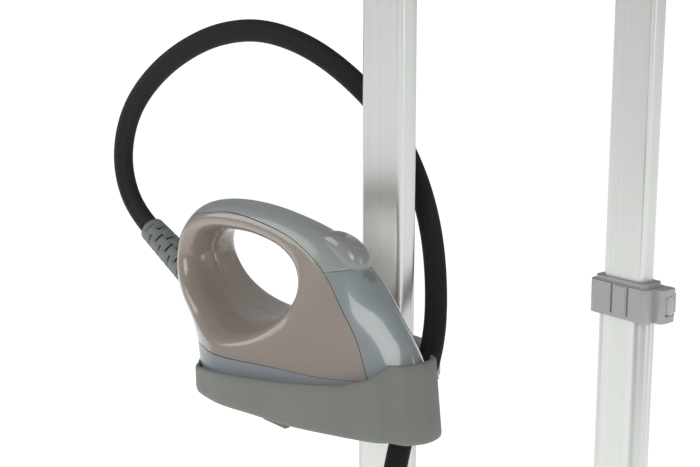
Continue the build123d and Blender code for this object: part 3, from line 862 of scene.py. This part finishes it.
@dataclass
class Iron:
    """The iron's shell, button and hose relief."""

    paints: Paints

    def part(
        self, name: str, region: Region, hands: list[Hand], finish: Finish, nodes: list[str]
    ) -> None:
        """Makes one moulding, with a wall and softened edges.

        Args:
            name: The piece's name.
            region: Which part of the shell.
            hands: The halves it has.
            finish: Its finish.
            nodes: The frame's nodes that it stands for.
        """
        form = IronForm()
        points, faces = [], []
        for hand in hands:
            half, quads = form.surface(region, hand, 0.25)
            start = sum(len(p) for p in points)
            points.append(half)
            quads = [tuple(i + start for i in quad) for quad in quads]
            faces += quads if hand is Hand.RIGHT else [tuple(reversed(quad)) for quad in quads]
        piece = make_mesh(name, np.vstack(points), faces, self.paints.get(finish))
        middle = np.array(IRON_AT[:1])
        lean = sum((p.center[0] - middle[0]) * p.normal[0] * p.area for p in piece.data.polygons)
        if lean < 0:
            piece.data.flip_normals()
        add_modifier(piece, "SOLIDIFY", thickness=1.6 * MM, offset=-1.0)
        sharp = math.radians(50)
        add_modifier(piece, "BEVEL", width=0.25 * MM, segments=2, limit_method="ANGLE", angle_limit=sharp)
        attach(piece, "iron")
        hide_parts(*nodes)
        log.info("%s", name)

    def button(self) -> None:
        """The steam trigger: a rounded bulb let into the strip in front of the handle."""
        stations = [
            (-20, 96.0, 4.0, 4.0), (-24, 96.0, 7.0, 6.0), (-31, 95.5, 8.6, 8.0), (-39, 94.5, 9.4, 9.4),
            (-47, 92.0, 9.8, 10.4), (-54, 89.0, 9.4, 10.6), (-60, 86.5, 7.6, 8.4), (-63, 85.5, 3.4, 4.0),
        ]  # fmt: skip
        angle = np.linspace(0, 2 * math.pi, 28, endpoint=False)
        rings = []
        for y, z, half, high in stations:
            x = half * np.sign(np.cos(angle)) * np.abs(np.cos(angle)) ** 0.8
            up = high * np.sign(np.sin(angle)) * np.abs(np.sin(angle)) ** 0.8
            rings.append(np.column_stack([x, np.full(28, float(y)), z + up]))
        faces = grid_faces(len(rings), 28, True)
        faces += end_caps(len(rings), 28)
        points = np.vstack(rings) * MM + np.array(IRON_AT)
        piece = make_mesh("trigger", points, faces, self.paints.get(Finish.BUTTON))
        add_modifier(piece, "SUBSURF", levels=2, render_levels=2)
        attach(piece, "steam_button")
        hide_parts("steam_button")

    def relief(self) -> None:
        """The ribbed strain relief where the hose leaves the heel, with staggered slots sunk 1.5 mm and painted
        near-black as their shade.
        """
        start, end = np.array([0, 126, 43.0]), np.array([0, 185, 68.0])
        run = (end - start) / np.linalg.norm(end - start)
        side = np.array([1.0, 0, 0])
        up = np.cross(run, side)
        rows, around = 60, 72
        points, dark = [], []
        for row in range(rows):
            share = row / (rows - 1)
            ring = int(share * 9)
            in_ring = share * 9 - ring
            for turn in range(around):
                angle = 2 * math.pi * turn / around
                spot = (turn + (ring % 2) * 9) % 18
                slot = 0.25 < in_ring < 0.7 and 3 < spot < 15 and 0.08 < share < 0.95
                radius = 11.6 - 2.1 * share - (1.5 if slot else 0.0)
                spoke = side * math.cos(angle) + up * math.sin(angle)
                points.append(start + run * share * np.linalg.norm(end - start) + radius * spoke)
                dark.append(slot)
        faces = grid_faces(rows, around, True) + end_caps(rows, around)
        placed = np.array(points) * MM + np.array(IRON_AT)
        piece = make_mesh("hose_boot", placed, faces, self.paints.get(Finish.RELIEF))
        # the slot faces get the near-black painted shade in place of the shadow inside them
        piece.data.materials.append(self.paints.get(Finish.SLOT))
        for polygon in piece.data.polygons:
            if len(polygon.vertices) == 4 and sum(dark[v] for v in polygon.vertices) >= 3:
                polygon.material_index = 1
        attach(piece, "iron")
        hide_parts("hose_relief")

    def build(self) -> None:
        """Makes every piece of the iron."""
        both = [Hand.LEFT, Hand.RIGHT]
        self.part("side_panel_left", Region.PANEL, [Hand.LEFT], Finish.TAUPE, ["iron_panel_left"])
        self.part("side_panel_right", Region.PANEL, [Hand.RIGHT], Finish.TAUPE, ["iron_panel_right"])
        self.part("lower_skirt", Region.SKIRT, both, Finish.SKIRT, ["iron_skirt"])
        self.part("nose_shell", Region.NOSE, both, Finish.NOSE, ["iron_nose_cover"])
        self.part("handle_strip", Region.STRIP, both, Finish.STRIP, ["iron_top_strip"])
        self.button()
        self.relief()


# ---- cradle ----


@dataclass
class Cradle:
    """The open tray that the iron rests in: high at the nose, low at the heel, with a round lip."""

    paints: Paints

    def build(self) -> None:
        """Makes the cradle's wall, lip and floor."""
        half = [
            (13, -119), (18, -110), (25, -103), (35, -82), (48, -48), (54, -16), (58, 5), (58.5, 20),
            (55, 42), (46, 54), (34, 68), (19, 80),
        ]  # fmt: skip
        plan = smooth_curve([(0, -123.5), *half, (0, 86), *[(-x, y) for x, y in reversed(half)]], True, 8)
        rim = np.array(
            [(-124, 39), (-112, 38), (-106, 32.5), (-102, 29), (-83, 23), (-23, 16), (28, 11), (49, 8), (100, 5)], float
        )
        top = np.interp(plan[:, 1], rim[:, 0], rim[:, 1])
        length = np.linalg.norm(plan, axis=1)

        def ring(inward: float, height: np.ndarray | float) -> np.ndarray:
            """The plan moved inward at a height, leaning out and back as it rises.

            Args:
                inward: How far it moves in, in mm.
                height: Where it lies, in mm.

            Returns:
                The ring's points in mm.
            """
            height = np.broadcast_to(height, length.shape)
            share = (height + 9) / 54
            spot = plan * ((length - inward + share) / length)[:, None]
            back = np.clip(-plan[:, 1] / 124, 0, 1) ** 2 * 9 * share
            return np.column_stack([spot[:, 0], spot[:, 1] + back, height])

        rings = [ring(length * 0.97, -9.0), ring(8, -9.0), ring(2.2, -9.0), ring(0.6, -8.2), ring(0, -6.0)]
        rings += [ring(0, -6 + (top + 4.5) * k / 6) for k in range(1, 7)]
        rings += [ring(0.4, top - 0.6), ring(1.5, top), ring(2.6, top - 0.6), ring(3.0, top - 1.6)]
        rings += [ring(3.0, top + (-4 - top) * k / 5) for k in range(1, 6)]
        rings += [ring(5.0, -6.0), ring(length * 0.97, -6.0)]
        points = np.vstack(rings) * MM + np.array(IRON_AT)
        count = len(plan)
        faces = grid_faces(len(rings), count, True)
        faces += end_caps(len(rings), count)
        piece = make_mesh("iron_tray", points, faces, self.paints.get(Finish.CRADLE))
        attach(piece, "base")
        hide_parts("iron_cradle")


# ---- board ----


@dataclass
class BoardCover:
    """The quilted cotton cover, filled out over its pad and gathered behind."""

    paints: Paints
    voxel_mm: float = 6.0

    def build(self) -> None:
        """Blows up a slab of cloth, then fits it to the cover's own box."""
        low, high = (np.array(corner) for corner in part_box("board_cover"))
        middle, size = (low + high) / 2, high - low
        angle = np.linspace(0, 2 * math.pi, 96, endpoint=False)
        edge = []
        for a in angle:
            c, s = math.cos(a), math.sin(a)
            reach = (abs(c) ** 5 + abs(s) ** 5) ** (-1 / 5)
            edge.append((c * reach * size[0] / 2 * 0.985, s * reach * size[2] / 2 * 0.985))
        edge = np.array(edge)
        levels = [(0.02, -0.40), (0.9, -0.40), (0.985, -0.30), (1.0, 0.0), (0.985, 0.30), (0.9, 0.42), (0.02, 0.42)]
        rings = [
            np.column_stack([edge[:, 0] * s, np.full(96, -d * size[1]), edge[:, 1] * s]) + middle for s, d in levels
        ]
        faces = grid_faces(len(rings), 96, True) + end_caps(len(rings), 96)
        cover = make_mesh("cotton_cover", np.vstack(rings), faces, self.paints.get(Finish.COVER))
        add_modifier(cover, "REMESH", mode="VOXEL", voxel_size=self.voxel_mm * MM)
        self.bake(cover)
        group = cover.vertex_groups.new(name="held")
        behind = [v.index for v in cover.data.vertices if v.co.y > middle[1] + size[1] * 0.3]
        group.add(behind, 1.0, "ADD")
        add_modifier(cover, "CLOTH")
        cloth = cover.modifiers[-1]
        cloth.settings.vertex_group_mass = "held"
        cloth.settings.use_pressure, cloth.settings.uniform_pressure_force = True, 4.0
        cloth.settings.effector_weights.gravity = 0.0
        cloth.settings.shrink_min = -0.01
        scene = bpy.context.scene
        rest = np.array([v.co for v in cover.data.vertices])
        for frame in range(1, 21):
            scene.frame_set(frame)
        self.bake(cover)
        scene.frame_set(1)
        now = np.array([v.co for v in cover.data.vertices])
        move = now - rest
        length = np.linalg.norm(move, axis=1)
        now = rest + move * np.minimum(1, 0.004 / np.maximum(length, 1e-9))[:, None]
        now = np.clip(now, low, high)
        for vertex, place in zip(cover.data.vertices, now):
            vertex.co = place
        add_modifier(cover, "SUBSURF", levels=1, render_levels=1)
        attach(cover, "board")
        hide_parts("board_cover")

    @staticmethod
    def bake(thing: bpy.types.Object) -> None:
        """Turns the modifiers into the mesh itself.

        Args:
            thing: The object whose modifiers are used up.
        """
        graph = bpy.context.evaluated_depsgraph_get()
        made = bpy.data.meshes.new_from_object(thing.evaluated_get(graph))
        thing.modifiers.clear()
        thing.data = made
        for polygon in thing.data.polygons:
            polygon.use_smooth = True


# ---- the frame's own nodes ----

NODE_FINISHES: dict[Finish, list[str]] = {
    Finish.SHELL: ["base_tray", "base_cover"],
    Finish.RUBBER: ["front_feet", "wheel_tyre_left", "wheel_tyre_right"],
    Finish.STEEL: ["wheel_axle", "socket_screws", "clamp_pins", "pivot_shaft", "cradle_screws"],
    Finish.DARK: [
        "wheel_hub_left", "wheel_hub_right", "water_pump", "mains_inlet", "tank_valve", "hose_socket",
        "tilt_knob", "steam_switch",
    ],
    Finish.CAST: ["boiler", "steam_chamber"],
    Finish.CIRCUIT: ["control_board"],
    Finish.COPPER: ["steam_line", "iron_steam_pipe"],
    Finish.SILICONE: ["water_line", "heat_mat"],
    Finish.TANK: ["tank_body"],
    Finish.GREY: [
        "tank_lid", "steam_dial", "pole_socket_left", "pole_socket_right", "clamp_body_left", "clamp_body_right",
        "pivot_head_left", "pivot_head_right",
    ],
    Finish.LEVER: ["clamp_lever_left", "clamp_lever_right"],
    Finish.BUTTON: ["power_button"],
    Finish.ANODISED: ["lower_tube_left", "lower_tube_right", "upper_tube_left", "upper_tube_right", "cross_bar"],
    Finish.BOARD: ["board_brackets", "board_plate"],
    Finish.FELT: ["board_pad"],
    Finish.SOLE: ["iron_soleplate"],
    Finish.LENS: ["indicator_lens"],
    Finish.CRADLE: ["cradle_bracket"],
}  # fmt: skip


@dataclass
class PlainParts:
    """Finishes the parts whose own form is already final, and rounds their edges."""

    paints: Paints
    edge_mm: float = 0.6

    def build(self, nodes: dict[str, bpy.types.Object]) -> None:
        """Gives each node its finish.

        Args:
            nodes: The frame's objects by name.
        """
        for finish, names in NODE_FINISHES.items():
            for name in names:
                node = nodes[name]
                for index in range(max(1, len(node.material_slots))):
                    if node.material_slots:
                        node.material_slots[index].link = "OBJECT"
                        node.material_slots[index].material = self.paints.get(finish)
                add_modifier(node, "WELD", merge_threshold=0.01 * MM)
                width = min(self.edge_mm * MM, min(node.dimensions) * 0.12)
                add_modifier(
                    node, "BEVEL", width=width, segments=2, limit_method="ANGLE", angle_limit=math.radians(40),
                    use_clamp_overlap=True,
                )  # fmt: skip


def main() -> None:
    """Builds the whole scene."""
    logging.basicConfig(level=logging.INFO, format="%(message)s")
    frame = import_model()
    paints = Paints()
    Studio(paints).build()
    log.info("studio")
    SteamHose(paints).build()
    log.info("hose")
    PlainParts(paints).build(frame["nodes"])
    log.info("plain parts")
    Iron(paints).build()
    Cradle(paints).build()
    log.info("cradle")
    BoardCover(paints).build()
    log.info("board cover")


if __name__ == "__main__":
    main()
